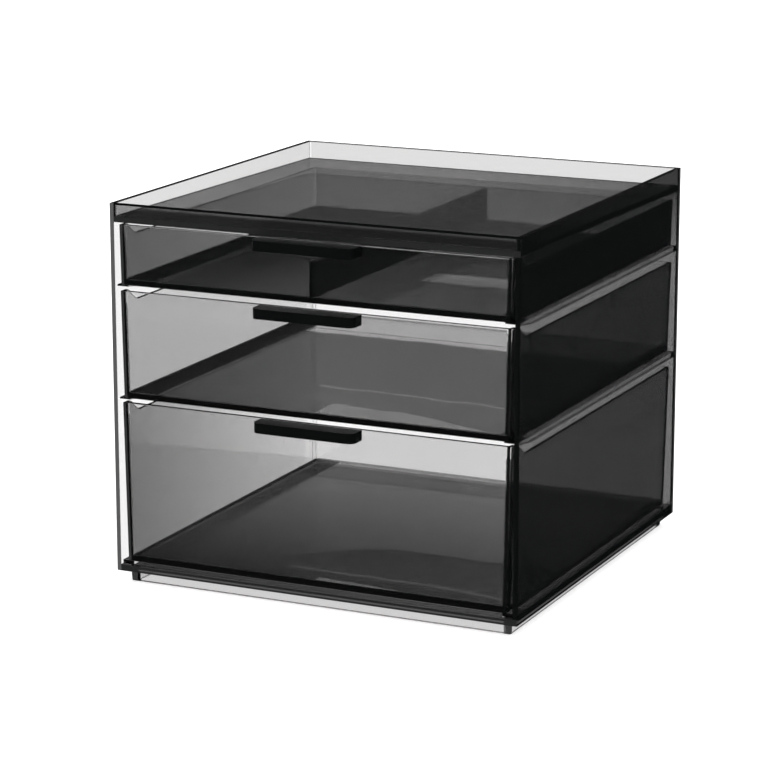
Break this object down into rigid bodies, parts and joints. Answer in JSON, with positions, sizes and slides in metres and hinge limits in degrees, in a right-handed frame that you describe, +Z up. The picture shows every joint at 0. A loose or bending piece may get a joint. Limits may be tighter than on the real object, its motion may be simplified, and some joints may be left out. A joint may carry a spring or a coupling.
{
  "type": "cosmetic drawer organizer",
  "caption": "Clear smoke-grey plastic box with stacked sliding drawers, black bar pulls, a rimmed roof that holds things and a set-in foot.",
  "frame": {"origin": "on the surface that the organizer stands on, at the middle of the whole footprint, pulls included", "axes": "+Z up, -Y towards the user, the way that the drawers open, +X to the user's right"},
  "size_m": [0.178, 0.185, 0.158],
  "materials": {
    "smoke_plastic": "polished transparent smoke-grey moulding",
    "black_plastic": "satin black"
  },
  "bodies": {
    "case": {"case_shell": "smoke_plastic"},
    "bottom_drawer": {"bottom_drawer_tray": "smoke_plastic", "bottom_drawer_pull": "black_plastic"},
    "middle_drawer": {"middle_drawer_tray": "smoke_plastic", "middle_drawer_pull": "black_plastic"},
    "top_drawer": {"top_drawer_tray": "smoke_plastic", "top_drawer_pull": "black_plastic"}
  },
  "joints": [
    {"name": "bottom_drawer_slide", "type": "slide", "parent": "case", "child": "bottom_drawer", "axis": [0, -1, 0], "range_m": [0, 0.15]},
    {"name": "middle_drawer_slide", "type": "slide", "parent": "case", "child": "middle_drawer", "axis": [0, -1, 0], "range_m": [0, 0.15]},
    {"name": "top_drawer_slide", "type": "slide", "parent": "case", "child": "top_drawer", "axis": [0, -1, 0], "range_m": [0, 0.15]}
  ]
}
